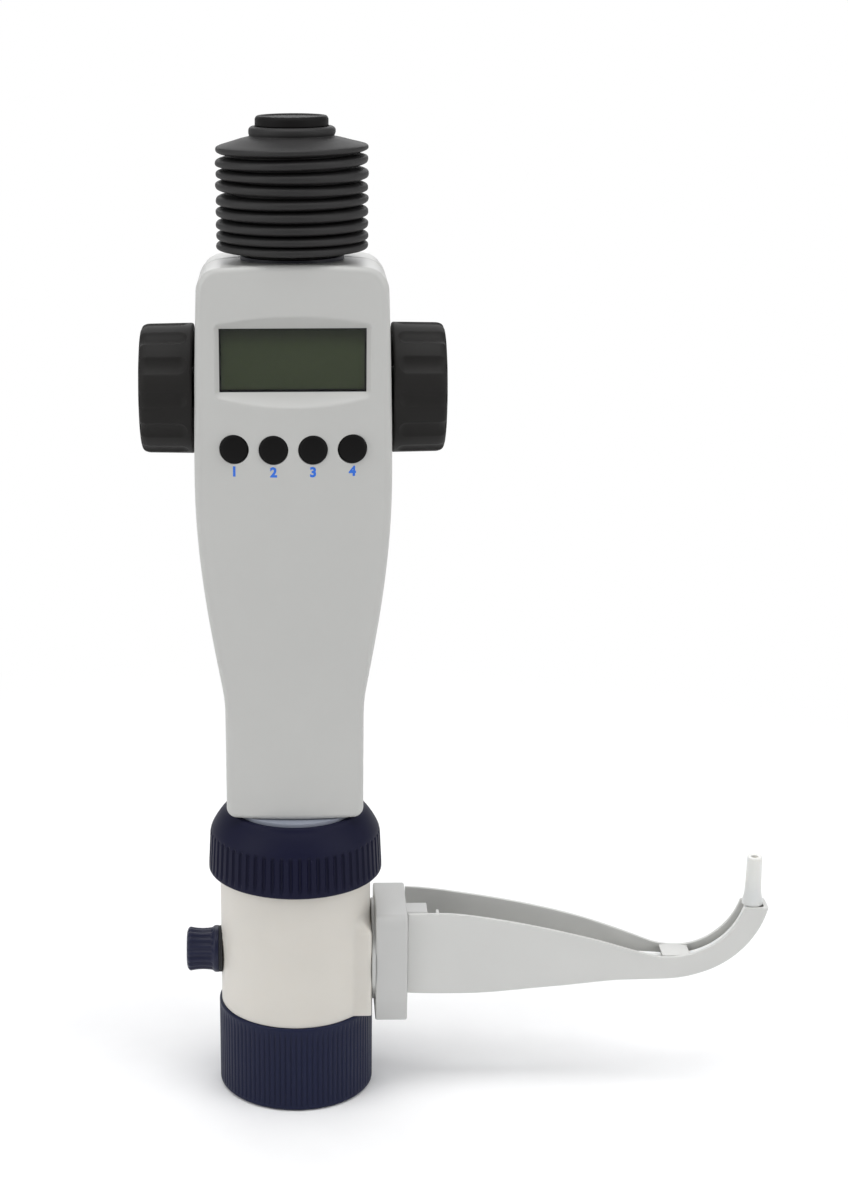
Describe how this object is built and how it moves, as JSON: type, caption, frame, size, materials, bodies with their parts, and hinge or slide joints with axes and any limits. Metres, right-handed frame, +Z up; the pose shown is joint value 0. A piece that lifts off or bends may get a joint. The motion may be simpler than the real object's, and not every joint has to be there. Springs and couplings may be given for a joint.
{
  "type": "digital bottle-top burette",
  "caption": "Digital burette that screws on a bottle: turning arm with a bent nozzle, handwheels that drive a racked piston rod under a bellows, and a display with keys.",
  "frame": {"origin": "centre of the bottle collar's mouth, on the plane of its lower edge", "axes": "+Z up along the cylinder, -Y towards the display, +X towards the discharge arm at rest"},
  "size_m": [0.2179, 0.0608, 0.3414],
  "materials": {
    "housing": "light warm grey, satin to glossy",
    "door": "light warm grey, satin",
    "dark_plastic": "very dark blue-grey, fine ribs",
    "wheel": "charcoal, matte",
    "button": "near black",
    "window": "smoked clear plastic",
    "display": "olive grey",
    "board": "green laminate",
    "rubber": "black, matte",
    "seal": "black",
    "block": "warm translucent white",
    "arm": "light grey",
    "fluoroplastic": "white, waxy",
    "clear_glass": "clear",
    "ceramic": "polished ceramic",
    "adapter": "grey-blue",
    "steel": "brushed",
    "gear": "natural acetal",
    "brass": "machined",
    "cell": "plain wrap"
  },
  "bodies": {
    "base": {"retaining_ring": "dark_plastic", "bottle_gasket": "seal", "valve_block": "block", "inlet_nipple": "fluoroplastic", "inlet_seat": "ceramic", "inlet_ball": "ceramic", "outlet_ball": "ceramic", "cylinder_seal": "seal", "glass_cylinder": "clear_glass", "cylinder_adapter": "adapter", "front_shell": "housing", "rear_shell": "housing", "battery_cell_lower": "cell", "battery_cell_upper": "cell", "battery_contact_left": "steel", "battery_contact_right": "steel", "display_window": "window", "display_module": "display", "circuit_board": "board", "button_mat": "seal", "encoder_sensor": "button", "gear_frame": "steel", "shaft_bush_left": "gear", "shaft_bush_right": "gear", "rod_guide": "adapter", "bellows_ring": "rubber", "bellows": "rubber", "case_screws": "steel", "adapter_screws": "steel", "board_screws": "steel", "frame_screws": "steel"},
    "collar": {"bottle_collar": "dark_plastic"},
    "nut": {"union_nut": "dark_plastic"},
    "arm": {"valve_plug": "fluoroplastic", "plug_ring_inner": "seal", "plug_ring_outer": "seal", "hub_disc": "arm", "arm_hub": "arm", "arm_shell": "arm", "discharge_tube": "fluoroplastic", "nozzle": "fluoroplastic"},
    "vent": {"vent_cap": "dark_plastic", "vent_washer": "seal"},
    "piston": {"piston_rod": "gear", "piston_head": "fluoroplastic", "piston_seal": "fluoroplastic", "rod_cap": "wheel"},
    "handwheel": {"handwheel_left": "wheel", "handwheel_right": "wheel", "handwheel_shaft": "steel", "drive_pinion": "brass", "encoder_disc": "wheel"},
    "gear": {"reduction_gear": "gear", "rack_pinion": "gear", "gear_axle": "steel"},
    "door": {"battery_door": "door"},
    "key_1": {"button_1": "button"},
    "key_2": {"button_2": "button"},
    "key_3": {"button_3": "button"},
    "key_4": {"button_4": "button"}
  },
  "joints": [
    {"name": "collar_turn", "type": "hinge", "parent": "base", "child": "collar", "pos_m": [0, 0, 0.015], "axis": [0, 0, 1], "continuous": true},
    {"name": "nut_turn", "type": "hinge", "parent": "base", "child": "nut", "pos_m": [0, 0, 0.0935], "axis": [0, 0, 1], "continuous": true},
    {"name": "arm_turn", "type": "hinge", "parent": "base", "child": "arm", "pos_m": [0.03, 0, 0.05], "axis": [1, 0, 0], "range_deg": [0, 180]},
    {"name": "vent_pull", "type": "slide", "parent": "base", "child": "vent", "axis": [-1, 0, 0], "range_m": [0, 0.016]},
    {"name": "piston_stroke", "type": "slide", "parent": "base", "child": "piston", "axis": [0, 0, 1], "range_m": [0, 0.0812], "deforming": ["bellows"]},
    {"name": "handwheel_turn", "type": "hinge", "parent": "base", "child": "handwheel", "pos_m": [0, 0.005, 0.252], "axis": [1, 0, 0], "range_deg": [0, 2330]},
    {"name": "gear_turn", "type": "hinge", "parent": "base", "child": "gear", "pos_m": [0, 0.007, 0.23774], "axis": [1, 0, 0], "range_deg": [-778, 0]},
    {"name": "door_pull", "type": "slide", "parent": "base", "child": "door", "axis": [0, 1, 0], "range_m": [0, 0.012]},
    {"name": "key_1_press", "type": "slide", "parent": "base", "child": "key_1", "axis": [0, 1, 0], "range_m": [0, 0.0006], "stiffness_N_per_m": 400},
    {"name": "key_2_press", "type": "slide", "parent": "base", "child": "key_2", "axis": [0, 1, 0], "range_m": [0, 0.0006], "stiffness_N_per_m": 400},
    {"name": "key_3_press", "type": "slide", "parent": "base", "child": "key_3", "axis": [0, 1, 0], "range_m": [0, 0.0006], "stiffness_N_per_m": 400},
    {"name": "key_4_press", "type": "slide", "parent": "base", "child": "key_4", "axis": [0, 1, 0], "range_m": [0, 0.0006], "stiffness_N_per_m": 400}
  ],
  "couplings": [
    {"joint": "handwheel_turn", "follows": "piston_stroke", "rad_per_m": 500},
    {"joint": "gear_turn", "follows": "piston_stroke", "rad_per_m": -166.67}
  ]
}
